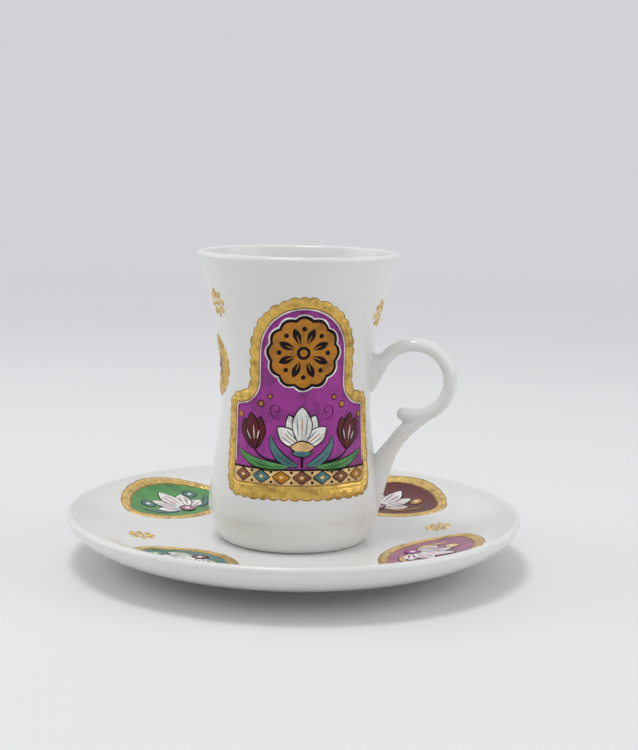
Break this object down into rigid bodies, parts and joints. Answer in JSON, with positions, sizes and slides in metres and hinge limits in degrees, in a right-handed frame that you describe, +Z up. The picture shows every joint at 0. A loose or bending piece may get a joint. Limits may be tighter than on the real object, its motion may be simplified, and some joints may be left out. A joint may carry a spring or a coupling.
{
  "type": "tea cup and saucer",
  "caption": "Waisted porcelain tea cup with a flared rim, a loop handle that ends in a spur, and enamel panels in gold frames, on a matching shallow saucer. It holds a hot drink.",
  "frame": {"origin": "centre of the saucer's foot ring, on the table", "axes": "+Z up along the axis of cup and saucer, +X from the axis towards the handle"},
  "size_m": [0.14, 0.14, 0.096],
  "materials": {
    "porcelain": "clear gloss glaze on white porcelain",
    "slip": "fired slip under the same clear glaze",
    "gold": "bright raised gold, fired on",
    "purple_enamel": "satin overglaze enamel",
    "ochre_enamel": "satin overglaze enamel",
    "green_enamel": "satin overglaze enamel",
    "teal_enamel": "satin overglaze enamel",
    "mauve_enamel": "satin overglaze enamel",
    "maroon_enamel": "satin overglaze enamel"
  },
  "bodies": {
    "saucer": {"saucer_plate": "porcelain", "saucer_panel_1": "green_enamel", "saucer_panel_frame_1": "gold", "saucer_panel_2": "teal_enamel", "saucer_panel_frame_2": "gold", "saucer_panel_3": "mauve_enamel", "saucer_panel_frame_3": "gold", "saucer_panel_4": "maroon_enamel", "saucer_panel_frame_4": "gold", "saucer_floret_1": "gold", "saucer_floret_2": "gold", "saucer_floret_3": "gold", "saucer_floret_4": "gold"},
    "cup": {"cup_body": "porcelain", "cup_handle": "porcelain", "upper_slip_joint": "slip", "lower_slip_joint": "slip", "front_panel": "purple_enamel", "front_panel_frame": "gold", "back_panel": "purple_enamel", "back_panel_frame": "gold", "side_medallion": "ochre_enamel", "side_medallion_frame": "gold", "cup_floret_1": "gold", "cup_floret_2": "gold", "cup_floret_3": "gold", "cup_floret_4": "gold"}
  },
  "joints": [
    {"name": "cup_lift", "type": "slide", "parent": "saucer", "child": "cup", "axis": [0, 0, 1], "range_m": [0, 0.12]}
  ]
}
